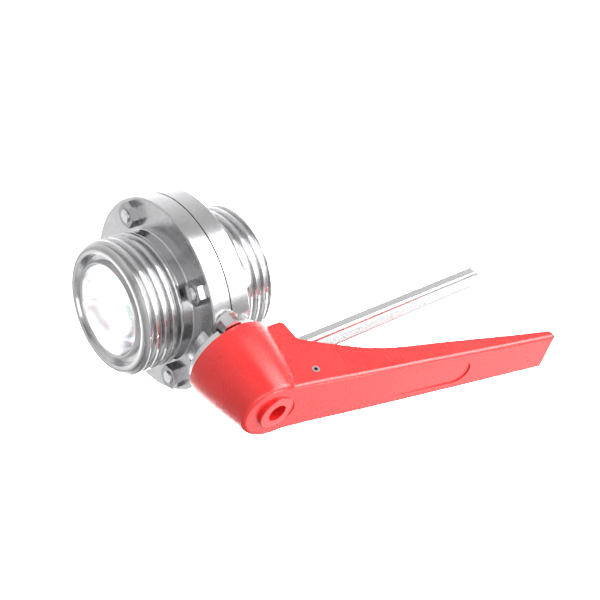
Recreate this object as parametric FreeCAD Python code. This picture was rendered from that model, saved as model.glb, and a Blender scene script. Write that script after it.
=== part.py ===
import FreeCAD, Part
import math
import os

# Sanitary butterfly valve, 41 mm bore, with round-thread male ends and a
# trigger handle. Millimetres. +X is the flow direction from the inlet to the
# outlet, +Z is the stem axis towards the handle, and the origin is where the
# flow axis and the stem axis cross. The lever lies along +X: the valve is open.

V = FreeCAD.Vector
XDIR = V(1, 0, 0)
YDIR = V(0, 1, 0)
ZDIR = V(0, 0, 1)

# ---- body halves ----
FACE_X = 34.3            # half of the face-to-face length
FLANGE_R = 44.0
FLANGE_T = 9.6           # thickness of one half's flange
NECK_R = 29.2            # just under the crests of the end thread
JOIN_W = 0.2             # half width and depth of the line between the halves
JOIN_D = 0.9
THREAD_R = 30.0          # crest radius of the Rd 60 x 1/6" end thread
THREAD_PITCH = 4.233
THREAD_DEPTH = 2.1
THREAD_COUNT = 5         # crests on each end
THREAD_X0 = FACE_X - 18.0  # first crest from the parting plane
BORE_R = 20.5
RIM_OUT_R = 27.7         # flat rim at the face
RIM_IN_R = 25.3
LIP_OUT_R = BORE_R + 0.8  # thin lip round the bore
RECESS_D = 3.6           # depth of the ring recess in the face
LIP_D = 0.2              # how far the lip sits behind the rim
NECK_X = FLANGE_T        # where the welded male end meets the flange
PAD_Z = 39.3             # flat on the flange under the position plate
BOSS_R = 14.2            # stem boss
BOSS_Z0 = 33.8

# ---- seat, disc and stem ----
SEAT_R = BORE_R + 4.0
SEAT_X = 7.0
SEAT_BORE_R = BORE_R - 0.05
DISC_R = SEAT_BORE_R - 0.3
DISC_T = 4.0
RELIEF_R = BORE_R + 0.3  # slightly wider bore where the disc swings
RELIEF_X = DISC_R + 1.0
STEM_R = 5.0
TRUNNION_R = 4.0
HUB_R = STEM_R + 0.6
FIT = 0.05               # radial clearance of a running fit
STEM_TOP = 58.0
SQUARE = 7.6             # square drive on the stem's end
TANG_T = 3.6             # flat tang in the disc's hub
TANG_W = 8.0
BUSH_R = STEM_R + 1.6
RING_ROOM = 2.6          # height of a sealing ring's pocket
RING_Z0 = SEAT_R + 1.1
BUSH_Z0 = RING_Z0 + RING_ROOM
BUSH_Z1 = 42.4
RING_R = STEM_R + 2.2    # pocket of the stem's sealing ring
LOWER_Z = -34.0
LOWER_R = TRUNNION_R + 2.0
LOWER_RING_Z = -SEAT_R - 1.1
LOWER_BUSH_Z = LOWER_RING_Z - RING_ROOM
SPIGOT_R = BUSH_R + 3.4  # spigot that carries the position plate
SPIGOT_FLAT = BUSH_R + 1.8  # half width across the spigot's two flats

# ---- fasteners ----
BOLT_SPACING = 51.9      # bolt square, side to side
BOLT_R = 3.0
BOLT_HOLE_R = 3.3
BOLT_AF = 10.0
HEAD_T = 4.0
NUT_T = 3.8
BOLT_END = 14.2
SCREW_X = -3.4           # position plate's fixing screw
SCREW_Y = 18.8
SCREW_R = 2.5
SCREW_AF = 8.0
SCREW_HEAD_T = 4.1

# ---- position plate ----
PLATE_R = 18.4
PLATE_Z0 = PAD_Z
PLATE_STEP = 41.2        # where the wide part of the plate starts
PLATE_Z1 = 44.4
FOOT_R = 14.0            # the plate's narrow lower step
EAR_R = 5.4
EAR_T = 1.1
NOTCH_R = 14.5
TOOTH_W = 6.0
NOTCH_W = TOOTH_W + 0.6
MARK_ANGLE = 153.0       # index mark on the plate's edge

# ---- handle ----
SHELL_Z0 = 45.0
BARREL = [[20.6, 45.0], [20.4, 49.0], [19.5, 55.0], [17.9, 64.0], [16.3, 72.0], [15.0, 78.0], [13.2, 86.0]]
LEVER_TOP = [[-30.0, 74.8], [0.0, 79.0], [20.0, 82.3], [40.0, 86.1], [60.0, 89.7], [80.0, 93.3],
             [100.0, 96.9], [120.0, 100.4], [146.0, 104.9]]
LEVER_UNDER = [[24.2, 57.0], [30.0, 61.2], [40.0, 67.6], [50.0, 73.4], [60.0, 77.7],
               [80.0, 83.4], [100.0, 88.8], [120.0, 94.4], [143.0, 100.4]]
LEVER_HALF = [[0.0, 13.6], [20.0, 13.2], [40.0, 12.8], [60.0, 12.4], [80.0, 12.0], [110.0, 11.2],
              [144.0, 10.5]]
EDGE_R = 1.5             # rounding round the lever's outer face
CROWN_R = 2.2            # rounding round the top of the barrel
INSERT_R = 11.0
INSERT_Z1 = 60.0
SCREW_HOLE_R = 4.35
COLLAR_R = 8.6           # level collar round the screw's access hole
COLLAR_Z = 79.9
LEVER_TIP_X = 144.0

# ---- trigger ----
PIVOT_X = 20.8
PIVOT_Z = 74.8
PIN_R = 1.75
TRIGGER_TIP_X = LEVER_TIP_X - 2.5
TRIGGER_W = 18.2         # width of the bar at its root
TRIGGER_TIP_W = 14.6
SLOT_Y = TRIGGER_W / 2.0 + 1.0  # half width of the slot for the trigger
TRIGGER_Z = 58.6         # top of the bar at its root
TRIGGER_DROP = 4.2       # how far the bar falls from root to tip
TOOTH_X = 18.7
TOOTH_T = 3.0
SHEET = 1.8

os.makedirs("parts", exist_ok=True)


def save(shape, name):
    shape.exportStep("parts/" + name + ".step")


def face(points):
    return Part.Face(Part.makePolygon(points + [points[0]]))


def turned(profile):
    """A solid turned about X from points of (x, radius)."""
    pts = [V(x, 0, r) for x, r in profile]
    return face(pts).revolve(V(0, 0, 0), XDIR, 360)


def rod(r, z0, z1, x=0.0, y=0.0):
    return Part.makeCylinder(r, z1 - z0, V(x, y, z0), ZDIR)


def rod_x(r, x0, x1, y=0.0, z=0.0):
    return Part.makeCylinder(r, x1 - x0, V(x0, y, z), XDIR)


def box(x0, x1, y0, y1, z0, z1):
    return Part.makeBox(x1 - x0, y1 - y0, z1 - z0, V(x0, y0, z0))


def hexagon(af, height, base, axis, turn):
    """A hexagonal prism standing on base along axis."""
    r = af / math.sqrt(3.0)
    pts = []
    for i in range(6):
        a = math.radians(60.0 * i + turn)
        if axis == "x":
            pts.append(base + V(0, r * math.cos(a), r * math.sin(a)))
        else:
            pts.append(base + V(r * math.cos(a), r * math.sin(a), 0))
    out = XDIR if axis == "x" else ZDIR
    return face(pts).extrude(out * height)


def chamfer_hex(prism, af, height, base, axis, both):
    """Turn the sharp corners off one or both ends of a hexagonal prism."""
    direction = XDIR if axis == "x" else ZDIR
    rc = af / math.sqrt(3.0)
    cone = Part.makeCone(rc + 2.0, rc - 0.45, 1.4, base + direction * (height - 1.4 + 0.001), direction)
    mid = Part.makeCylinder(rc + 2.0, height - 1.4 + 0.002, base - direction * 0.001, direction)
    keep = mid.fuse(cone)
    out = prism.common(keep)
    if both:
        low = Part.makeCone(rc - 0.45, rc + 2.0, 1.4, base - direction * 0.001, direction)
        rest = Part.makeCylinder(rc + 2.0, height, base + direction * 1.399, direction)
        out = out.common(low.fuse(rest))
    return out


# ---------------------------------------------------------------- body halves
def end_profile():
    """Section of a male end, drawn on +X, from the flange face out."""
    half = THREAD_PITCH / 2.0
    pts = [[NECK_X, BORE_R], [NECK_X, NECK_R]]
    pts.append([THREAD_X0 - half * 0.75, NECK_R])
    pts.append([THREAD_X0 - half * 0.55, THREAD_R - 0.25])
    for i in range(THREAD_COUNT):
        x = THREAD_X0 + i * THREAD_PITCH
        if x > FACE_X - 2.0:
            break
        pts.append([x - 0.7, THREAD_R])
        pts.append([x + 0.7, THREAD_R])
        if i < THREAD_COUNT - 1:
            pts.append([x + half - 0.95, THREAD_R - THREAD_DEPTH + 0.35])
            pts.append([x + half - 0.4, THREAD_R - THREAD_DEPTH])
            pts.append([x + half + 0.4, THREAD_R - THREAD_DEPTH])
            pts.append([x + half + 0.95, THREAD_R - THREAD_DEPTH + 0.35])
    pts.append([FACE_X, RIM_OUT_R])
    pts.append([FACE_X, RIM_IN_R])
    pts.append([FACE_X - RECESS_D, RIM_IN_R - 1.0])
    pts.append([FACE_X - RECESS_D, LIP_OUT_R + 0.6])
    pts.append([FACE_X - LIP_D, LIP_OUT_R])
    pts.append([FACE_X - LIP_D, BORE_R + 0.3])
    pts.append([FACE_X - LIP_D - 0.3, BORE_R])
    pts.append([RELIEF_X, BORE_R])
    pts.append([RELIEF_X - 0.3, RELIEF_R])
    pts.append([NECK_X, RELIEF_R])
    return pts[1:]


def flange_profile():
    """Section of one half's flange, drawn on +X."""
    pts = [[0.0, FLANGE_R - JOIN_D], [JOIN_W, FLANGE_R - JOIN_D], [JOIN_W, FLANGE_R - 0.2]]
    pts += [[JOIN_W + 0.2, FLANGE_R], [FLANGE_T - 0.5, FLANGE_R]]
    pts.append([FLANGE_T, FLANGE_R - 0.5])
    pts.append([FLANGE_T, RELIEF_R])
    pts.append([SEAT_X, RELIEF_R])
    pts.append([SEAT_X, SEAT_R])
    pts.append([0.0, SEAT_R])
    return pts


def bolt_places():
    s = BOLT_SPACING / 2.0
    return [V(0, s, s), V(0, s, -s), V(0, -s, s), V(0, -s, -s)]


def male_end(side):
    return turned([[side * x, r] for x, r in end_profile()])


def flange_half(side):
    """One half of the flanged body. side is -1 for the inlet and +1 for the outlet."""
    solid = turned([[side * x, r] for x, r in flange_profile()])
    # the stem boss swells out of the flange face
    boss = rod(BOSS_R, BOSS_Z0 + 1.0, PAD_Z)
    boss = boss.fuse(Part.makeCone(BOSS_R - 0.8, BOSS_R, 1.0, V(0, 0, BOSS_Z0), ZDIR))
    core = rod(BUSH_R + 2.6, SEAT_R - 1.0, PAD_Z)
    spigot = rod(SPIGOT_R, PAD_Z - 1.0, PLATE_Z1)
    spigot = spigot.common(box(-SPIGOT_FLAT, SPIGOT_FLAT, -20, 20, PAD_Z - 1.0, PLATE_Z1))
    half_space = box(0, 60, -60, 60, -60, 60)
    if side < 0:
        half_space = box(-60, 0, -60, 60, -60, 60)
    upper = boss.fuse(core).fuse(spigot)
    upper = upper.cut(rod_x(SEAT_R + 0.5, -SEAT_X - 1.0, SEAT_X + 1.0))
    upper = upper.common(half_space)
    upper = upper.cut(rod_x(NECK_R + 0.02, NECK_X, 40))
    upper = upper.cut(rod_x(NECK_R + 0.02, -40, -NECK_X))
    upper = upper.cut(rod_x(NECK_R - 2.0, -NECK_X, NECK_X))
    # flat under the position plate
    top = box(-60, 60, -60, 60, PAD_Z, 70)
    solid = solid.cut(top)
    solid = solid.fuse(upper)
    if side < 0:
        lug = rod(SCREW_R + 1.7, 33.0, PLATE_Z0, SCREW_X, SCREW_Y).common(half_space)
        solid = solid.fuse(lug)
        solid = solid.cut(rod(SCREW_R + 0.02, 30.2, PLATE_Z0 + 1.0, SCREW_X, SCREW_Y))
    # stem passage: journal, bush pocket and ring pocket, and the lower bearing
    solid = solid.cut(rod(STEM_R + 0.4, 15.0, PLATE_Z1 + 1.0))
    solid = solid.cut(rod(BUSH_R, BUSH_Z0, PLATE_Z1 + 1.0))
    solid = solid.cut(rod(RING_R, RING_Z0, BUSH_Z0))
    solid = solid.cut(rod(TRUNNION_R + 0.4, LOWER_Z, -15.0))
    solid = solid.cut(rod(LOWER_R, LOWER_Z + 0.6, LOWER_RING_Z))
    for p in bolt_places():
        solid = solid.cut(rod_x(BOLT_HOLE_R, -20, 20, p.y, p.z))
    return solid.removeSplitter()


save(flange_half(-1), "inlet_flange")
save(flange_half(1), "outlet_flange")
save(male_end(-1), "inlet_male_end")
save(male_end(1), "outlet_male_end")


# ---------------------------------------------------------------- seat ring
def seat_ring():
    pts = [[-SEAT_X, SEAT_BORE_R + 0.8], [-SEAT_X + 1.2, SEAT_BORE_R + 0.25]]
    pts += [[-2.5, SEAT_BORE_R], [2.5, SEAT_BORE_R]]
    pts += [[SEAT_X - 1.2, SEAT_BORE_R + 0.25], [SEAT_X, SEAT_BORE_R + 0.8]]
    pts += [[SEAT_X, SEAT_R - 0.03], [-SEAT_X, SEAT_R - 0.03]]
    ring = turned(pts)
    ring = ring.cut(rod(STEM_R + FIT, 10.0, SEAT_R + 2.0))
    ring = ring.cut(rod(TRUNNION_R + FIT, -SEAT_R - 2.0, -10.0))
    return ring


save(seat_ring(), "seat_ring")


# ---------------------------------------------------------------- disc and stem
def valve_disc():
    """Lens-shaped disc with a round hub along Z and a lower trunnion."""
    rim = 1.1
    pts = [[-DISC_T / 2 - 0.9, 0.0], [-DISC_T / 2, 9.0], [-rim, DISC_R - 0.35], [-rim + 0.5, DISC_R]]
    pts += [[rim - 0.5, DISC_R], [rim, DISC_R - 0.35], [DISC_T / 2, 9.0], [DISC_T / 2 + 0.9, 0.0]]
    flat = face([V(0, y, r) for y, r in pts]).revolve(V(0, 0, 0), YDIR, 360)
    hub = rod(HUB_R, -DISC_R - 1.0, DISC_R + 1.0)
    hub = hub.common(Part.makeSphere(DISC_R - 0.02))
    body = flat.fuse(hub)
    body = body.fuse(rod(TRUNNION_R, LOWER_Z + 2.0, -DISC_R + 2.5))
    w = TANG_W / 2 + 0.02
    t = TANG_T / 2 + 0.02
    socket = box(-w, w, -t, t, 7.0, DISC_R + 1.0)
    body = body.cut(socket)
    return body.removeSplitter()


def drive_stem():
    shaft = rod(STEM_R, DISC_R + 0.05, SHELL_Z0)
    tang = box(-TANG_W / 2, TANG_W / 2, -TANG_T / 2, TANG_T / 2, 7.6, DISC_R + 0.2)
    tang = tang.common(rod(STEM_R, 7.0, DISC_R + 1.0))
    s = SQUARE / 2.0
    square = box(-s, s, -s, s, SHELL_Z0 - 0.2, STEM_TOP)
    square = square.common(rod(STEM_R, SHELL_Z0 - 0.2, STEM_TOP))
    stem = shaft.fuse(tang).fuse(square)
    stem = stem.cut(rod(2.1, 44.0, STEM_TOP + 1.0))
    return stem.removeSplitter()


save(valve_disc(), "valve_disc")
save(drive_stem(), "drive_stem")

upper_bush = rod(BUSH_R, BUSH_Z0, BUSH_Z1).cut(rod(STEM_R + FIT, BUSH_Z0 - 1, BUSH_Z1 + 1))
save(upper_bush, "upper_stem_bush")

thrust = rod(BUSH_R, BUSH_Z1, BUSH_Z1 + 1.6).cut(rod(STEM_R + FIT, BUSH_Z1 - 1, BUSH_Z1 + 3))
save(thrust, "stem_dust_washer")

lower_bush = rod(LOWER_R, LOWER_Z + 0.6, LOWER_BUSH_Z).cut(rod(TRUNNION_R + FIT, LOWER_Z - 1, -20.0))
save(lower_bush, "lower_stem_bush")

upper_ring = Part.makeTorus(STEM_R + 0.06 + 1.0, 1.0, V(0, 0, (RING_Z0 + BUSH_Z0) / 2.0), ZDIR)
save(upper_ring, "upper_stem_o_ring")

lower_ring = Part.makeTorus(TRUNNION_R + 0.06 + 0.9, 0.9, V(0, 0, (LOWER_RING_Z + LOWER_BUSH_Z) / 2.0), ZDIR)
save(lower_ring, "lower_stem_o_ring")


# ---------------------------------------------------------------- fasteners
def body_bolts():
    out = []
    for p in bolt_places():
        base = V(FLANGE_T, p.y, p.z)
        head = hexagon(BOLT_AF, HEAD_T, base, "x", 15.0)
        head = chamfer_hex(head, BOLT_AF, HEAD_T, base, "x", False)
        shank = rod_x(BOLT_R, -BOLT_END + 0.5, FLANGE_T + 0.5, p.y, p.z)
        tip = Part.makeCone(BOLT_R - 0.5, BOLT_R, 0.5, V(-BOLT_END, p.y, p.z), XDIR)
        out.append(head.fuse(shank).fuse(tip).removeSplitter())
    return Part.makeCompound(out)


def body_nuts():
    out = []
    for p in bolt_places():
        base = V(-FLANGE_T - NUT_T, p.y, p.z)
        nut = hexagon(BOLT_AF, NUT_T, base, "x", 15.0)
        nut = chamfer_hex(nut, BOLT_AF, NUT_T, base, "x", True)
        nut = nut.cut(rod_x(BOLT_R + 0.02, -20, 0, p.y, p.z))
        out.append(nut)
    return Part.makeCompound(out)


save(body_bolts(), "body_bolts")
save(body_nuts(), "body_nuts")


# ---------------------------------------------------------------- position plate
def position_plate():
    """Stepped disc with an ear for its screw and four notches for the lock tooth."""
    foot = rod(FOOT_R, PLATE_Z0, PLATE_STEP)
    disc = rod(PLATE_R, PLATE_STEP, PLATE_Z1)
    disc = disc.makeChamfer(0.3, [e for e in disc.Edges if len(e.Vertexes) == 1 and e.Length > 20])
    dx = SCREW_X
    dy = SCREW_Y
    ear_top = PLATE_Z0 + EAR_T
    ear = rod(EAR_R, PLATE_Z0, ear_top, dx, dy)
    n = V(dy, -dx, 0)
    n.normalize()
    a = V(dx, dy, PLATE_Z0)
    link = face([n * EAR_R + V(0, 0, PLATE_Z0), a + n * EAR_R,
                 a - n * EAR_R, n * -EAR_R + V(0, 0, PLATE_Z0)]).extrude(ZDIR * EAR_T)
    # the wide part is cut back round the screw's head
    disc = disc.cut(rod(SCREW_AF / math.sqrt(3.0) + 1.0, PLATE_STEP - 1, PLATE_Z1 + 1, dx, dy))
    mark = box(PLATE_R - 0.3, PLATE_R + 1, -0.3, 0.3, PLATE_STEP - 1, PLATE_Z1 + 1)
    mark.rotate(V(0, 0, 0), ZDIR, MARK_ANGLE)
    disc = disc.cut(mark)
    plate = foot.fuse(disc).fuse(ear).fuse(link)
    hole = rod(SPIGOT_R + 0.05, PLATE_Z0 - 1, PLATE_Z1 + 1)
    f = SPIGOT_FLAT + 0.05
    hole = hole.common(box(-f, f, -20, 20, PLATE_Z0 - 1, PLATE_Z1 + 1))
    plate = plate.cut(hole)
    plate = plate.cut(rod(SCREW_R + 0.2, PLATE_Z0 - 1, PLATE_Z1 + 1, dx, dy))
    # locking notches: open, two throttling positions and closed
    for deg in (0.0, -30.0, -60.0, -90.0):
        cut = box(NOTCH_R, PLATE_R + 5, -NOTCH_W / 2, NOTCH_W / 2, PLATE_Z0 - 1, PLATE_Z1 + 1)
        cut.rotate(V(0, 0, 0), ZDIR, deg)
        plate = plate.cut(cut)
    return plate.removeSplitter()


save(position_plate(), "position_plate")


def plate_screw():
    base = V(SCREW_X, SCREW_Y, PLATE_Z0 + EAR_T)
    head = hexagon(SCREW_AF, SCREW_HEAD_T, base, "z", 30.0)
    head = chamfer_hex(head, SCREW_AF, SCREW_HEAD_T, base, "z", False)
    shank = rod(SCREW_R, 30.6, PLATE_Z0 + EAR_T + 0.5, SCREW_X, SCREW_Y)
    return head.fuse(shank).removeSplitter()


save(plate_screw(), "plate_screw")


# ---------------------------------------------------------------- handle
def spline(points):
    curve = Part.BSplineCurve()
    curve.interpolate(points)
    return curve.toShape()


def along(points, x):
    """Height at x of the straight runs between points."""
    for i in range(len(points) - 1):
        a = points[i]
        b = points[i + 1]
        if a[0] <= x <= b[0]:
            return a[1] + (b[1] - a[1]) * (x - a[0]) / (b[0] - a[0])
    return points[-1][1]


def stretched(points):
    """The lever's points with everything beyond the barrel moved to suit its length."""
    k = (LEVER_TIP_X - 30.0) / 114.0
    return [[30.0 + (x - 30.0) * k if x > 30.0 else x, v] for x, v in points]


def outer_line(x):
    return along(stretched(LEVER_TOP), x)


def rounded(shape, radius, wanted):
    """Round the edges whose middle point passes the test."""
    picked = []
    for e in shape.Edges:
        mid = e.valueAt((e.FirstParameter + e.LastParameter) / 2.0)
        if wanted(e, mid):
            picked.append(e)
    return shape.makeFillet(radius, picked)


def lever_prism():
    """The lever and its skirt, too tall: the common top face trims it."""
    y = -30.0
    tip = LEVER_TIP_X
    under = spline([V(x, y, z) for x, z in stretched(LEVER_UNDER)])
    last = stretched(LEVER_UNDER)[-1]
    first = LEVER_UNDER[0]
    walls = [V(last[0], y, last[1]), V(tip - 0.4, y, last[1] + 0.8), V(tip, y, 110.0), V(0, y, 110.0)]
    low = SHELL_Z0 + 0.7
    walls += [V(0, y, low), V(first[0] - 1.2, y, low), V(first[0], y, low + 1.6), V(first[0], y, first[1])]
    wire = Part.Wire([under] + Part.makePolygon(walls).Edges)
    slab = Part.Face(wire).extrude(YDIR * 60)
    plan = []
    for s in (1, -1):
        plan.append(spline([V(x, s * w, 30) for x, w in stretched(LEVER_HALF)]))
    w0 = LEVER_HALF[0][1]
    w1 = LEVER_HALF[-1][1]
    plan.append(Part.makeLine(V(LEVER_HALF[0][0], w0, 30), V(LEVER_HALF[0][0], -w0, 30)))
    plan.append(Part.makeLine(V(tip, w1, 30), V(tip, -w1, 30)))
    order = Part.Wire(Part.__sortEdges__(plan))
    prism = Part.Face(order).extrude(ZDIR * 100)
    prism = rounded(prism, 2.2, lambda e, m: abs(m.x - tip) < 0.1 and abs(m.z - 80) < 1)
    lever = slab.common(prism).common(under_top(0.0)).removeSplitter()

    def on_top(e, m):
        return abs(m.z - outer_line(m.x)) < 0.6 and m.x > first[0]

    return rounded(lever, EDGE_R, on_top)


def barrel_solid():
    curve = spline([V(r, 0, z) for r, z in BARREL])
    r0 = BARREL[0]
    r1 = BARREL[-1]
    rest = Part.makePolygon([V(r1[0], 0, r1[1]), V(0, 0, r1[1]), V(0, 0, r0[1]), V(r0[0], 0, r0[1])])
    wire = Part.Wire([curve] + rest.Edges)
    barrel = Part.Face(wire).revolve(V(0, 0, 0), ZDIR, 360)
    barrel = barrel.common(under_top(0.0)).removeSplitter()
    return rounded(barrel, CROWN_R, lambda e, m: m.z > 70 and e.Length > 30)


def under_top(drop):
    """Everything below the handle's outer face, lowered by drop."""
    y = -40.0
    line = stretched(LEVER_TOP)
    top = spline([V(x, y, z - drop) for x, z in line])
    a = line[0]
    b = line[-1]
    rest = [V(b[0], y, b[1] - drop), V(b[0], y, 20), V(a[0], y, 20), V(a[0], y, a[1] - drop)]
    return Part.Face(Part.Wire([top] + Part.makePolygon(rest).Edges)).extrude(YDIR * 80)


def handle_shell():
    shell = barrel_solid().fuse(lever_prism()).removeSplitter()
    # slot for the trigger and its channel under the lever
    wall = 2.8
    slot = box(13.3, 110.0, -SLOT_Y, SLOT_Y, SHELL_Z0 - 1, 120.0)
    shell = shell.cut(slot.common(under_top(wall)))
    # level collar round the access hole: it stands proud of the sloping face
    # and runs out into the lever
    collar = rod(COLLAR_R, COLLAR_Z - 6.0, COLLAR_Z)
    rim = [e for e in collar.Edges if len(e.Vertexes) == 1 and abs(e.BoundBox.ZMin - COLLAR_Z) < 0.01]
    collar = collar.makeFillet(0.35, rim)
    shell = shell.cut(rod(COLLAR_R, COLLAR_Z, COLLAR_Z + 6.0))
    shell = shell.fuse(collar)
    # socket for the drive insert, and the access hole for the screw
    shell = shell.cut(rod(INSERT_R, SHELL_Z0 - 1, INSERT_Z1))
    shell = shell.cut(rod(SCREW_HOLE_R, INSERT_Z1 - 1, 90.0))
    # moulded relief with ribs inside the barrel
    relief = rod(16.8, SHELL_Z0 - 1, 62.0).cut(rod(13.3, SHELL_Z0 - 2, 63.0))
    for deg in (45.0, 90.0, 135.0, 180.0, 225.0, 270.0, 315.0):
        rib = box(12.0, 18.0, -0.9, 0.9, SHELL_Z0 + 1.2, 63.0)
        rib.rotate(V(0, 0, 0), ZDIR, deg)
        relief = relief.cut(rib)
    shell = shell.cut(relief)
    # pivot pin hole through both cheeks
    shell = shell.cut(Part.makeCylinder(PIN_R, 40, V(PIVOT_X, -20, PIVOT_Z), YDIR))
    # shallow oval recess on the lever, running out towards the handle
    x0 = 54.0
    x1 = LEVER_TIP_X - 52.0
    slope = math.degrees(math.atan2(outer_line(x1) - outer_line(x0), x1 - x0))
    pocket = box(x0, x1, -7.2, 7.2, 0, 12)
    pocket = pocket.fuse(Part.makeCylinder(7.2, 12, V(x1, 0, 0), ZDIR)).removeSplitter()
    pocket.rotate(V(x0, 0, 0), YDIR, 0.86 - slope)
    pocket.translate(V(0, 0, outer_line(x0) + 0.05))
    shell = shell.cut(pocket)
    return shell.removeSplitter()


save(handle_shell(), "handle_shell")


def drive_insert():
    hub = rod(INSERT_R - 0.02, 45.9, INSERT_Z1)
    s = SQUARE / 2.0 + 0.02
    hub = hub.cut(box(-s, s, -s, s, 45.0, STEM_TOP + 0.2))
    hub = hub.cut(rod(2.7, STEM_TOP, INSERT_Z1 + 1))
    return hub


save(drive_insert(), "handle_drive_insert")

washer = rod(4.25, INSERT_Z1, INSERT_Z1 + 1.0).cut(rod(2.65, INSERT_Z1 - 1, INSERT_Z1 + 2))
save(washer, "handle_screw_washer")


def handle_screw():
    z = INSERT_Z1 + 1.0
    head = rod(4.1, z, z + 5.0)
    head = head.cut(hexagon(4.0, 3.0, V(0, 0, z + 2.2), "z", 0.0))
    shank = rod(2.5, STEM_TOP + 0.1, z + 0.5)
    thread = rod(2.05, 46.0, STEM_TOP + 0.2)
    return head.fuse(shank).fuse(thread).removeSplitter()


save(handle_screw(), "handle_screw")


# ---------------------------------------------------------------- trigger
def trigger_lever():
    """Pressed channel bar, tapered in plan, with two cheeks up to the pivot."""
    w = TRIGGER_W / 2.0
    w_tip = TRIGGER_TIP_W / 2.0
    x0 = TOOTH_X + TOOTH_T + 0.02
    run = TRIGGER_TIP_X - x0
    deep = 4.6
    roof = 2.9
    wires = []
    for x, half, z in ((x0, w, TRIGGER_Z), (TRIGGER_TIP_X, w_tip, TRIGGER_Z - TRIGGER_DROP)):
        sec = [[-half, -deep], [-half, 0.0], [half, 0.0], [half, -deep], [half - SHEET, -deep],
               [half - SHEET, -roof], [SHEET - half, -roof], [SHEET - half, -deep], [-half, -deep]]
        wires.append(Part.makePolygon([V(x, y, z + h) for y, h in sec]))
    bar = Part.makeLoft(wires, True, True)
    push = V(run, 0, -TRIGGER_DROP)

    def long_edge(e, m):
        top = TRIGGER_Z - TRIGGER_DROP / 2.0
        return e.Length > run * 0.9 and abs(m.z - top) < 0.2 and abs(abs(m.y) - (w + w_tip) / 2.0) < 0.1

    bar = rounded(bar, 1.7, long_edge)
    # pressed groove along the middle
    groove = face([V(x0 - 3, -4.9, TRIGGER_Z + 0.3), V(x0 - 3, -3.9, TRIGGER_Z - 1.2),
                   V(x0 - 3, 3.9, TRIGGER_Z - 1.2), V(x0 - 3, 4.9, TRIGGER_Z + 0.3)])
    groove = groove.extrude(push * 1.1)
    bar = bar.cut(groove)
    # rounded tip in plan
    tip = box(x0 - 5, TRIGGER_TIP_X - 4, -10, 10, 30, 70)
    tip = tip.fuse(box(TRIGGER_TIP_X - 5, TRIGGER_TIP_X, 4 - w_tip, w_tip - 4, 30, 70))
    for s in (-1, 1):
        tip = tip.fuse(rod(4.0, 30, 70, TRIGGER_TIP_X - 4, s * (w_tip - 4)))
    bar = bar.common(tip)
    cheek = [V(TOOTH_X + 0.1, 0, 54.2), V(29.5, 0, 54.2), V(27.0, 0, 62.0), V(25.2, 0, 70.0)]
    for deg in (0, 30, 60, 90, 120, 150, 180):
        a = math.radians(deg)
        cheek.append(V(PIVOT_X + (PIN_R + 1.4) * math.cos(a), 0, PIVOT_Z + (PIN_R + 1.4) * math.sin(a)))
    cheek.append(V(17.9, 0, 66.0))
    for s in (-1, 1):
        y = w - SHEET if s > 0 else -w
        plate = face([p + V(0, y, 0) for p in cheek]).extrude(YDIR * SHEET)
        bar = bar.fuse(plate)
    bar = bar.cut(Part.makeCylinder(PIN_R + FIT, 40, V(PIVOT_X, -20, PIVOT_Z), YDIR))
    return bar.removeSplitter()


def lock_tooth():
    w = TRIGGER_W / 2.0 - SHEET - 0.02
    t = TOOTH_W / 2.0
    pts = [[-t, 41.3], [t, 41.3], [t, 47.6], [w, 50.2], [w, 57.0], [-w, 57.0], [-w, 50.2], [-t, 47.6]]
    return face([V(TOOTH_X, y, z) for y, z in pts]).extrude(XDIR * TOOTH_T)


save(trigger_lever(), "trigger_lever")
save(lock_tooth(), "lock_tooth")


def pivot_pin():
    pin = Part.makeCylinder(PIN_R, 26.4, V(PIVOT_X, -13.2, PIVOT_Z), YDIR)
    pin = pin.cut(Part.makeCylinder(PIN_R * 0.45, 30, V(PIVOT_X, -15, PIVOT_Z), YDIR))
    return pin


save(pivot_pin(), "trigger_pivot_pin")


def return_spring():
    """Compression coil between the bar and the roof of the lever's channel."""
    x = 33.0
    wire = 0.55
    root = TOOTH_X + TOOTH_T
    z0 = TRIGGER_Z - 1.2 - TRIGGER_DROP * (x - root) / (TRIGGER_TIP_X - root) + wire + 0.05
    z1 = outer_line(x) - 2.6 - wire - 0.45
    turns = 7.0
    helix = Part.makeHelix((z1 - z0) / turns, z1 - z0, 3.2)
    circle = Part.Wire([Part.makeCircle(wire, V(3.2, 0, 0), YDIR)])
    sweep = Part.Wire(helix.Wires[0] if helix.Wires else helix).makePipeShell([circle], True, True)
    sweep.translate(V(x, 0, z0))
    return sweep


save(return_spring(), "trigger_return_spring")
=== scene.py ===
import math

import bpy
from mathutils import Matrix, Vector


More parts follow.
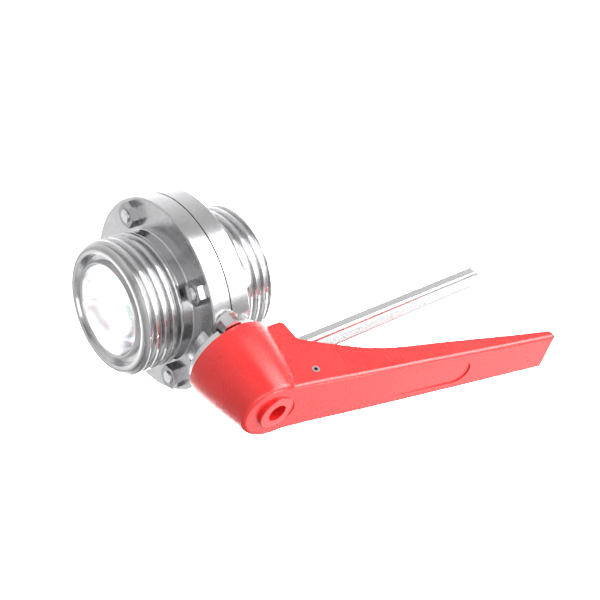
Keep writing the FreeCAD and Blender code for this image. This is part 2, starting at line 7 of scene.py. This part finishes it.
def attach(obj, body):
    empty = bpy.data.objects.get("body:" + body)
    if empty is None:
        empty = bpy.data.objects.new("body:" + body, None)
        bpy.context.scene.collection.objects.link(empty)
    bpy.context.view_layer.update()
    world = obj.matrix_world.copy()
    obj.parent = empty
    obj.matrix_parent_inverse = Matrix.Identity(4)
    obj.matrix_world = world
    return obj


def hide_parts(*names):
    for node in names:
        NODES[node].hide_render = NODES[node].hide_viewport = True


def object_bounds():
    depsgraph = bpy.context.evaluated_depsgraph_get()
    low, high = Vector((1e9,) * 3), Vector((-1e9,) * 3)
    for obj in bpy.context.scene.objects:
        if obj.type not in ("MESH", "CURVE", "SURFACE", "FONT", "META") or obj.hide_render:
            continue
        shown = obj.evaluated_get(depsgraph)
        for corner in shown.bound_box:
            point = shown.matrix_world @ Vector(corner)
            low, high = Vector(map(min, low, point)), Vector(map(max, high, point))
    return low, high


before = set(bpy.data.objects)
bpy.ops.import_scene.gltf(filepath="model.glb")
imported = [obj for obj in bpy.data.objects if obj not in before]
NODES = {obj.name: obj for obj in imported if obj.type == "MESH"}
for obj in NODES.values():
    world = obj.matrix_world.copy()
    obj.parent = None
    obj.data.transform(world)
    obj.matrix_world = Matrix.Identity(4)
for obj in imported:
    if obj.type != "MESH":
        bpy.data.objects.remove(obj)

cad_lo, cad_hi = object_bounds()
MM = 0.001


# ------------------------------------------------------------------ node help
class Graph:
    """A small helper for writing node trees."""

    def __init__(self, name):
        self.mat = bpy.data.materials.new(name)
        self.mat.use_nodes = True
        self.tree = self.mat.node_tree
        self.tree.nodes.clear()
        self.out = self.tree.nodes.new("ShaderNodeOutputMaterial")
        self.bsdf = self.tree.nodes.new("ShaderNodeBsdfPrincipled")
        self.tree.links.new(self.bsdf.outputs[0], self.out.inputs["Surface"])
        coord = self.tree.nodes.new("ShaderNodeTexCoord")
        self.co = coord.outputs["Object"]

    def node(self, kind, **values):
        n = self.tree.nodes.new(kind)
        for k, v in values.items():
            setattr(n, k, v)
        return n

    def link(self, a, b):
        self.tree.links.new(a, b)

    def math(self, op, a, b=None):
        n = self.node("ShaderNodeMath", operation=op)
        for i, v in enumerate((a, b)):
            if v is None:
                continue
            if isinstance(v, (int, float)):
                n.inputs[i].default_value = v
            else:
                self.link(v, n.inputs[i])
        return n.outputs[0]

    def scaled(self, vec, scale):
        n = self.node("ShaderNodeVectorMath", operation="MULTIPLY")
        self.link(vec, n.inputs[0])
        n.inputs[1].default_value = scale
        return n.outputs[0]

    def noise(self, vec, scale, detail=4.0, rough=0.55, distort=0.0):
        n = self.node("ShaderNodeTexNoise")
        self.link(vec, n.inputs["Vector"])
        n.inputs["Scale"].default_value = scale
        n.inputs["Detail"].default_value = detail
        n.inputs["Roughness"].default_value = rough
        n.inputs["Distortion"].default_value = distort
        return n.outputs["Fac"]

    def voronoi(self, vec, scale):
        n = self.node("ShaderNodeTexVoronoi")
        self.link(vec, n.inputs["Vector"])
        n.inputs["Scale"].default_value = scale
        return n.outputs["Distance"]

    def between(self, fac, lo, hi, a=0.0, b=1.0):
        n = self.node("ShaderNodeMapRange")
        self.link(fac, n.inputs["Value"])
        n.inputs["From Min"].default_value = a
        n.inputs["From Max"].default_value = b
        n.inputs["To Min"].default_value = lo
        n.inputs["To Max"].default_value = hi
        return n.outputs["Result"]

    def mix(self, fac, a, b, kind="MIX"):
        n = self.node("ShaderNodeMix", data_type="RGBA", blend_type=kind)
        if isinstance(fac, (int, float)):
            n.inputs[0].default_value = fac
        else:
            self.link(fac, n.inputs[0])
        for i, v in ((6, a), (7, b)):
            if isinstance(v, tuple):
                n.inputs[i].default_value = v if len(v) == 4 else (*v, 1.0)
            else:
                self.link(v, n.inputs[i])
        return n.outputs[2]

    def bump(self, height, strength, distance, before=None):
        n = self.node("ShaderNodeBump")
        n.inputs["Strength"].default_value = strength
        n.inputs["Distance"].default_value = distance
        self.link(height, n.inputs["Height"])
        if before is not None:
            self.link(before, n.inputs["Normal"])
        return n.outputs["Normal"]

    def set(self, **values):
        names = {"rough": "Roughness", "metal": "Metallic", "color": "Base Color", "normal": "Normal",
                 "spec": "Specular IOR Level", "sss": "Subsurface Weight",
                 "sss_scale": "Subsurface Scale", "ior": "IOR"}
        for k, v in values.items():
            sock = self.bsdf.inputs[names[k]]
            if isinstance(v, (int, float)):
                sock.default_value = v
            elif isinstance(v, tuple):
                sock.default_value = v if len(v) == 4 else (*v, 1.0)
            else:
                self.link(v, sock)
        return self.mat


# ------------------------------------------------------------------ materials
def shade(colour, factor):
    """The same hue, lighter or darker."""
    return tuple(min(1.0, v * factor) for v in colour)


def polar(g, axis):
    """(distance from the axis, place along it) of the object coordinates."""
    s = g.node("ShaderNodeSeparateXYZ")
    g.link(g.co, s.inputs[0])
    along = s.outputs["XYZ".index(axis)]
    other = [s.outputs[i] for i in range(3) if i != "XYZ".index(axis)]
    r2 = g.math("ADD", g.math("MULTIPLY", other[0], other[0]), g.math("MULTIPLY", other[1], other[1]))
    return g.math("SQRT", r2), along


def turned_steel(name, axis="X", base=(0.70, 0.70, 0.71), rough=0.2, marks=1.0, valley=None, seam=0.0):
    """Stainless turned on a lathe and wiped with an abrasive: fine rings about axis.

    valley is the two radii in mm between which a thread's grooves get painted shade and a rougher
    finish, and seam is half the width in mm of a dark line across the axis at its zero.
    """
    g = Graph(name)
    r, along = polar(g, axis)
    c = g.node("ShaderNodeCombineXYZ")
    g.link(g.math("MULTIPLY", r, 9000.0), c.inputs[0])
    g.link(g.math("MULTIPLY", along, 9000.0), c.inputs[1])
    wander = g.noise(g.co, 30.0, 2.0)
    g.link(g.math("MULTIPLY", wander, 2.0), c.inputs[2])
    rings = g.noise(c.outputs[0], 1.0, 3.0, 0.7)
    cloud = g.noise(g.co, 55.0, 5.0, 0.6)
    spots = g.noise(g.co, 420.0, 3.0, 0.6)
    tone = g.mix(g.between(cloud, 0.0, 1.0, 0.3, 0.7), shade(base, 0.93), shade(base, 1.05))
    tone = g.mix(g.between(rings, 0.0, 0.16 * marks, 0.35, 0.7), tone, shade(base, 0.72))
    ro = g.between(cloud, rough * 0.75, rough * 1.25, 0.3, 0.7)
    ro = g.math("ADD", ro, g.between(rings, 0.0, 0.09 * marks, 0.3, 0.7))
    ro = g.math("ADD", ro, g.between(spots, 0.0, 0.05, 0.55, 0.8))
    if valley:
        # painted shade: the thread's grooves are darkened as if shadowed; the added roughness is the real
        # finish
        painted_groove_shade = g.between(r, 1.0, 0.0, valley[0] * MM, valley[1] * MM)
        inside = g.between(r, 0.0, 1.0, (valley[0] - 1.2) * MM, (valley[0] - 1.0) * MM)
        amount = g.math("MULTIPLY", painted_groove_shade, inside)
        tone = g.mix(amount, tone, shade(base, 0.60))
        ro = g.math("ADD", ro, g.math("MULTIPLY", amount, 0.12))
    if seam:
        line = g.between(g.math("ABSOLUTE", along), 1.0, 0.0, seam * MM, (seam + 0.05) * MM)
        tone = g.mix(line, tone, shade(base, 0.12))
        ro = g.math("ADD", ro, g.math("MULTIPLY", line, 0.4))
    n = g.bump(rings, 0.10 * marks, 0.00004)
    n = g.bump(cloud, 0.010, 0.0006, n)
    return g.set(color=tone, metal=1.0, rough=ro, normal=n)


def brushed_steel(name, stretch, base=(0.74, 0.74, 0.75), rough=0.26, marks=1.0):
    """Sheet or bar finished with straight strokes of an abrasive belt."""
    g = Graph(name)
    strokes = g.noise(g.scaled(g.co, stretch), 3.0, 4.0, 0.7)
    fine = g.noise(g.scaled(g.co, tuple(v * 3.0 for v in stretch)), 4.0, 2.0, 0.6)
    cloud = g.noise(g.co, 60.0, 4.0, 0.6)
    tone = g.mix(g.between(cloud, 0.0, 1.0, 0.3, 0.7), shade(base, 0.94), shade(base, 1.04))
    tone = g.mix(g.between(strokes, 0.0, 0.18 * marks, 0.4, 0.7), tone, shade(base, 0.7))
    ro = g.between(strokes, rough * 0.8, rough * 1.3, 0.3, 0.7)
    ro = g.math("ADD", ro, g.between(fine, 0.0, 0.06, 0.4, 0.7))
    n = g.bump(strokes, 0.12 * marks, 0.00004)
    n = g.bump(fine, 0.06 * marks, 0.00002, n)
    return g.set(color=tone, metal=1.0, rough=ro, normal=n)


def bolt_steel(name, low, high):
    """Cold-headed fastener steel: smooth and a little uneven."""
    g = Graph(name)
    cloud = g.noise(g.co, 260.0, 5.0, 0.65)
    pits = g.voronoi(g.co, 1400.0)
    tone = g.mix(g.between(cloud, 0.0, 1.0, 0.35, 0.65), low, high)
    ro = g.between(cloud, 0.14, 0.28, 0.3, 0.7)
    n = g.bump(cloud, 0.05, 0.0001)
    n = g.bump(pits, 0.04, 0.00004, n)
    return g.set(color=tone, metal=1.0, rough=ro, normal=n)


def pressed_bar(name):
    """Polished pressed bar; the floor of its groove keeps a coarse rolled grain."""
    g = Graph(name)
    s = g.node("ShaderNodeSeparateXYZ")
    g.link(g.co, s.inputs[0])
    side = g.math("ABSOLUTE", s.outputs[1])
    groove = g.between(side, 1.0, 0.0, 3.6 * MM, 4.0 * MM)
    run = g.between(s.outputs[0], 1.0, 0.25, 0.06, 0.135)
    grain = g.noise(g.co, 1500.0, 2.0, 0.7)
    strokes = g.noise(g.scaled(g.co, (14.0, 700.0, 700.0)), 3.0, 4.0, 0.7)
    cloud = g.noise(g.co, 60.0, 4.0, 0.6)
    amount = g.math("MULTIPLY", groove, run)
    speck = g.math("MULTIPLY", g.between(grain, 0.0, 1.0, 0.42, 0.60), amount)
    tone = g.mix(g.between(cloud, 0.0, 1.0, 0.3, 0.7), (0.84, 0.84, 0.84), (0.90, 0.90, 0.90))
    tone = g.mix(speck, tone, (0.42, 0.42, 0.42))
    ro = g.math("ADD", g.between(strokes, 0.12, 0.22, 0.3, 0.7), g.math("MULTIPLY", groove, 0.06))
    n = g.bump(strokes, 0.10, 0.00004)
    n = g.bump(g.math("MULTIPLY", grain, amount), 0.08, 0.00005, n)
    return g.set(color=tone, metal=1.0, rough=ro, normal=n)


def red_nylon(name):
    """Moulded red plastic with a fine spark texture, flow marks and light scuffs."""
    g = Graph(name)
    grain = g.noise(g.co, 2600.0, 2.0, 0.5)
    pebble = g.voronoi(g.co, 1700.0)
    flow = g.noise(g.scaled(g.co, (9.0, 30.0, 30.0)), 2.2, 4.0, 0.6, 0.4)
    cloud = g.noise(g.co, 38.0, 4.0, 0.6)
    scuff = g.noise(g.scaled(g.co, (900.0, 90.0, 90.0)), 1.0, 5.0, 0.75)
    tone = g.mix(g.between(cloud, 0.0, 1.0, 0.3, 0.7), (0.80, 0.014, 0.014), (0.87, 0.024, 0.023))
    tone = g.mix(g.between(flow, 0.0, 0.18, 0.40, 0.80), tone, (0.64, 0.012, 0.012))
    tone = g.mix(g.between(scuff, 0.0, 0.03, 0.62, 0.8), tone, (0.92, 0.22, 0.20))
    ro = g.math("ADD", g.between(cloud, 0.24, 0.31, 0.3, 0.7), g.between(scuff, 0.0, 0.03, 0.55, 0.8))
    n = g.bump(pebble, 0.10, 0.00006)
    n = g.bump(grain, 0.10, 0.00005, n)
    n = g.bump(flow, 0.02, 0.0008, n)
    return g.set(color=tone, rough=ro, normal=n, spec=1.0, sss=0.12, sss_scale=0.002, ior=1.5)


def soft_plastic(name, dark, light, rough, sss=0.0):
    """Plain rubber or plastic with a slightly uneven surface."""
    g = Graph(name)
    cloud = g.noise(g.co, 90.0, 4.0, 0.6)
    fine = g.noise(g.co, 1500.0, 3.0, 0.6)
    tone = g.mix(g.between(cloud, 0.0, 1.0, 0.3, 0.7), dark, light)
    ro = g.between(fine, rough * 0.85, rough * 1.15, 0.3, 0.7)
    n = g.bump(fine, 0.12, 0.00004)
    return g.set(color=tone, rough=ro, normal=n, sss=sss, sss_scale=0.001)


STEEL_BODY = turned_steel("flange_turned_steel", base=(0.60, 0.60, 0.61), rough=0.20, seam=0.21)
# the thread's grooves get painted shade between these radii
STEEL_END = turned_steel("end_turned_steel", rough=0.13, marks=0.8, valley=(27.9, 29.3))
STEEL_DISC = brushed_steel("disc_polished_steel", (300.0, 8.0, 300.0), rough=0.14, marks=0.7)
STEEL_STEM = turned_steel("stem_turned_steel", "Z", rough=0.18)
STEEL_PLATE = turned_steel("plate_turned_steel", "Z", (0.84, 0.84, 0.84), rough=0.24, marks=0.6)
STEEL_BOLT = bolt_steel("fastener_steel", (0.68, 0.68, 0.69), (0.78, 0.78, 0.79))
# painted shade: the nuts are the bolts' steel made darker, standing in for the dark surroundings their
# faces reflect
STEEL_NUT_PAINTED_DARK = bolt_steel("nut_steel_painted_shade", (0.30, 0.30, 0.31), (0.42, 0.42, 0.43))
STEEL_BAR = pressed_bar("trigger_polished_steel")
STEEL_INSERT = turned_steel("insert_turned_steel", "Z", rough=0.3)
STEEL_SPRING = brushed_steel("spring_drawn_steel", (60.0, 60.0, 60.0), (0.55, 0.55, 0.57), rough=0.3)
RED = red_nylon("handle_red_nylon")
SILICONE = soft_plastic("seat_silicone", (0.80, 0.80, 0.78), (0.90, 0.90, 0.88), 0.45, 0.2)
PTFE = soft_plastic("bush_ptfe", (0.84, 0.84, 0.82), (0.92, 0.92, 0.91), 0.4, 0.2)
BLACK = soft_plastic("ring_black_rubber", (0.012, 0.012, 0.012), (0.025, 0.025, 0.025), 0.55)

LOOKS = {
    "inlet_flange": STEEL_BODY, "outlet_flange": STEEL_BODY,
    "inlet_male_end": STEEL_END, "outlet_male_end": STEEL_END,
    "valve_disc": STEEL_DISC, "drive_stem": STEEL_STEM, "seat_ring": SILICONE,
    "upper_stem_bush": PTFE, "lower_stem_bush": PTFE, "stem_dust_washer": PTFE,
    "upper_stem_o_ring": BLACK, "lower_stem_o_ring": BLACK,
    "body_bolts": STEEL_BOLT, "body_nuts": STEEL_NUT_PAINTED_DARK, "plate_screw": STEEL_BOLT,
    "position_plate": STEEL_PLATE, "handle_shell": RED, "handle_drive_insert": STEEL_INSERT,
    "handle_screw": STEEL_BOLT, "handle_screw_washer": STEEL_BOLT, "trigger_lever": STEEL_BAR,
    "lock_tooth": STEEL_BAR, "trigger_pivot_pin": STEEL_BOLT, "trigger_return_spring": STEEL_SPRING,
}
for name, mat in LOOKS.items():
    mesh = NODES[name].data
    mesh.materials.clear()
    mesh.materials.append(mat)


# ------------------------------------------------------------------ round-thread ends
FACE_X = 34.3
NECK_X = 9.6
NECK_R = 29.2
NECK_FILLET = 0.7
CREST_R = 29.98
PITCH = 4.233
DEPTH = 2.1
CREST_HALF = 0.13             # shares of the pitch, from the middle of a crest
ROOT_START = 0.40
FIRST_CREST = FACE_X - 18.0
RUN_OUT = (0.70, 0.15)        # pitches before the first crest, where the groove fades in
NECK_RISE = (1.7, 1.0)        # before the first crest, where the neck rises to the crests
THREAD_ROOM = 3.0
MOUTH_R = 27.7
MOUTH_SLOPE = 1.15
BORE_R = 20.5
RELIEF_X = 21.15
RELIEF_DEPTH = 0.3
RELIEF_R = BORE_R + RELIEF_DEPTH
# (distance behind the face, radius) of the rim, the ring recess and the thin lip
MOUTH = ((0.0, 27.55), (0.0, 25.42), (0.06, 25.30), (0.2, 25.24), (3.3, 24.40), (3.55, 24.22), (3.6, 23.95),
         (3.6, 22.2), (3.52, 21.95), (3.3, 21.85), (0.42, 21.35), (0.26, 21.28), (0.2, 21.15),
         (0.2, 20.85), (0.26, 20.72), (0.5, 20.52), (0.8, BORE_R))
AROUND = 256
ROWS = 150
SHARP = 40.0


def eased(a, b, x):
    t = min(1.0, max(0.0, (x - a) / (b - a)))
    return t * t * (3.0 - 2.0 * t)


def thread_radius(x, turn):
    """Radius of the round thread at x, where turn is the part of a turn about +X."""
    u = (x - FIRST_CREST) / PITCH - turn
    off = abs(u - round(u))
    cut = DEPTH * eased(CREST_HALF, ROOT_START, off)
    fade = eased(FIRST_CREST - PITCH * RUN_OUT[0], FIRST_CREST - PITCH * RUN_OUT[1], x)
    rise = eased(FIRST_CREST - NECK_RISE[0], FIRST_CREST - NECK_RISE[1], x)
    neck = NECK_R + (CREST_R - NECK_R) * rise
    chamfer = MOUTH_R + (FACE_X - x) * MOUTH_SLOPE
    return min(CREST_R - cut * fade, neck, chamfer)


def end_rows(side):
    """Rings of (x, radius) round the axis, from the neck over the thread and back along the bore."""
    rows = []
    for k in range(7):
        a = math.radians(15.0 * k)
        place = (NECK_X + NECK_FILLET * (1.0 - math.cos(a)), NECK_R + NECK_FILLET * (1.0 - math.sin(a)))
        rows.append([place] * AROUND)
    x0 = FIRST_CREST - THREAD_ROOM
    for i in range(ROWS + 1):
        x = x0 + (FACE_X - x0) * i / ROWS
        rows.append([(x, thread_radius(x, side * j / AROUND)) for j in range(AROUND)])
    inner = [(FACE_X - back, r) for back, r in MOUTH]
    inner += [(RELIEF_X, BORE_R), (RELIEF_X - RELIEF_DEPTH, RELIEF_R), (NECK_X, RELIEF_R)]
    rows += [[place] * AROUND for place in inner]
    return rows


def male_end(name, side, mat):
    """Helical round thread, ring recess, thin lip and bore, as one closed skin."""
    rows = end_rows(side)
    verts = []
    for row in rows:
        for j, (x, r) in enumerate(row):
            a = 2.0 * math.pi * j / AROUND
            verts.append((side * x * MM, r * MM * math.cos(a), r * MM * math.sin(a)))
    faces = []
    n = len(rows)
    for i in range(n):
        k = (i + 1) % n
        for j in range(AROUND):
            m = (j + 1) % AROUND
            quad = (i * AROUND + j, k * AROUND + j, k * AROUND + m, i * AROUND + m)
            faces.append(quad if side < 0 else quad[::-1])
    mesh = bpy.data.meshes.new(name)
    mesh.from_pydata(verts, [], faces)
    mesh.materials.append(mat)
    for poly in mesh.polygons:
        poly.use_smooth = True
    mesh.update()
    mesh.set_sharp_from_angle(angle=math.radians(SHARP))
    obj = bpy.data.objects.new(name, mesh)
    bpy.context.scene.collection.objects.link(obj)
    return obj


for name, side in (("inlet", -1), ("outlet", 1)):
    end = male_end(name + "_thread_end", side, STEEL_END)
    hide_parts(name + "_male_end")
    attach(end, "valve_body")


# ------------------------------------------------------------------ stage
FLOOR_DROP = 0.30
FLOOR_HALF = 6.0
MIDDLE = Vector((0.02, 0.0, 0.02))
CAMERA_PLACE = Vector((-0.36667, 0.48197, 0.37069))
# its right, up and back directions are the columns
CAMERA_AXES = ((0.768342, 0.275659, -0.577636), (0.248347, 0.703388, 0.66601),
               (0.589893, -0.655177, 0.471983))
CAMERA_LENS = 96.0


def stage_floor():
    """A large sheet of pale paper below the valve."""
    z = cad_lo.z - FLOOR_DROP
    s = FLOOR_HALF
    mesh = bpy.data.meshes.new("floor")
    mesh.from_pydata([(-s, -s, z), (s, -s, z), (s, s, z), (-s, s, z)], [], [(0, 1, 2, 3)])
    obj = bpy.data.objects.new("floor", mesh)
    bpy.context.scene.collection.objects.link(obj)
    g = Graph("floor_paper")
    fine = g.noise(g.co, 300.0, 3.0)
    tone = g.mix(g.between(fine, 0.0, 1.0, 0.3, 0.7), (0.93, 0.93, 0.93), (0.96, 0.96, 0.96))
    mesh.materials.append(g.set(color=tone, rough=0.9, spec=0.1))
    return obj


def facing(azimuth, elevation):
    """Unit vector towards a direction given in degrees."""
    a = math.radians(azimuth)
    e = math.radians(elevation)
    return Vector((math.cos(e) * math.cos(a), math.cos(e) * math.sin(a), math.sin(e)))


def area(name, place, target, width, height, radiance, spread=180.0):
    """A soft box that shows about the same brightness whatever its size."""
    data = bpy.data.lights.new(name, "AREA")
    data.shape = "RECTANGLE"
    data.size = width
    data.size_y = height
    data.energy = radiance * math.pi * width * height
    data.spread = math.radians(spread)
    obj = bpy.data.objects.new(name, data)
    obj.location = place
    obj.rotation_euler = (Vector(target) - Vector(place)).to_track_quat("-Z", "Y").to_euler()
    bpy.context.scene.collection.objects.link(obj)
    return obj


def softbox(name, azimuth, elevation, distance, width, height, radiance):
    """An area lamp seen from the middle of the valve in a direction given in degrees."""
    place = MIDDLE + facing(azimuth, elevation) * distance
    return area(name, place, MIDDLE, width, height, radiance)


def flag_off(lamps, obj):
    """Keeps the light of these lamps off obj, as a studio flag does."""
    shaded = bpy.data.collections.new("flagged")
    shaded.objects.link(obj)
    shaded.collection_objects[0].light_linking.link_state = "EXCLUDE"
    for lamp in lamps:
        lamp.light_linking.receiver_collection = shaded


def camera():
    """A long lens that looks down on the inlet side of the valve, turned about its own axis."""
    data = bpy.data.cameras.new("camera")
    data.lens = CAMERA_LENS
    data.sensor_width = 36.0
    data.clip_start = 0.05
    obj = bpy.data.objects.new("camera", data)
    bpy.context.scene.collection.objects.link(obj)
    m = Matrix(CAMERA_AXES).to_4x4()
    m.translation = CAMERA_PLACE
    obj.matrix_world = m
    bpy.context.scene.camera = obj


def studio(base, lobes):
    """A room of even brightness with soft brighter regions.

    Each lobe is its azimuth and elevation, the angles in degrees from its middle where it begins
    and ends to fade, and the brightness that it adds.
    """
    world = bpy.data.worlds.new("studio")
    world.use_nodes = True
    tree = world.node_tree
    background = tree.nodes["Background"]
    coord = tree.nodes.new("ShaderNodeTexCoord")
    total = None
    for azimuth, elevation, inner, outer, amount in lobes:
        dot = tree.nodes.new("ShaderNodeVectorMath")
        dot.operation = "DOT_PRODUCT"
        tree.links.new(coord.outputs["Generated"], dot.inputs[0])
        dot.inputs[1].default_value = facing(azimuth, elevation)
        ramp = tree.nodes.new("ShaderNodeMapRange")
        ramp.interpolation_type = "SMOOTHSTEP"
        tree.links.new(dot.outputs["Value"], ramp.inputs["Value"])
        ramp.inputs["From Min"].default_value = math.cos(math.radians(outer))
        ramp.inputs["From Max"].default_value = math.cos(math.radians(inner))
        ramp.inputs["To Max"].default_value = amount
        add = tree.nodes.new("ShaderNodeMath")
        add.operation = "ADD"
        tree.links.new(ramp.outputs["Result"], add.inputs[0])
        if total is None:
            add.inputs[1].default_value = base
        else:
            tree.links.new(total, add.inputs[1])
        total = add.outputs[0]
    background.inputs["Color"].default_value = (1.0, 1.0, 1.0, 1.0)
    tree.links.new(total, background.inputs["Strength"])
    bpy.context.scene.world = world


floor = stage_floor()
camera()

# the tall main light, with a small one near the lever's tip; neither lights the floor
key = softbox("key", 64.0, 27.0, 1.2, 0.90, 1.50, 3.7)
softbox("fill", 140.0, 20.0, 1.4, 1.5, 1.1, 0.3)
tip_lamp = area("tip_lamp", (0.40, 0.42, 0.16), (0.13, 0.0, 0.09), 0.30, 0.30, 3.0)
flag_off((key, tip_lamp), floor)
# the floor that the steel mirrors, and the floor behind the valve
area("front_lamp", (-0.45, 0.50, 0.75), (-0.45, 0.50, -0.3), 0.7, 0.7, 1.4)
area("ceiling", (1.00, -1.10, 1.6), (1.00, -1.10, -0.3), 1.8, 1.8, 0.8)
area("floor_lamp", (0.92, -0.98, 3.0), (0.92, -0.98, -0.3), 0.5, 0.5, 60.0, 46.0)
# just outside the outlet, shining through the bore towards the inlet
area("port_lamp", (0.0362, 0.0, 0.0), (-1.0, 0.0, 0.0), 0.030, 0.030, 420.0)
BEHIND = (-45.0, 14.0, 14.0, 32.0, 0.90)
INLET_SIDE = (180.0, 45.0, 15.0, 60.0, 0.28)
OVERHEAD = (20.0, 60.0, 10.0, 40.0, 0.25)
studio(0.27, (BEHIND, INLET_SIDE, OVERHEAD))
bpy.context.scene.view_settings.view_transform = "Standard"
bpy.context.scene.view_settings.exposure = 0.12
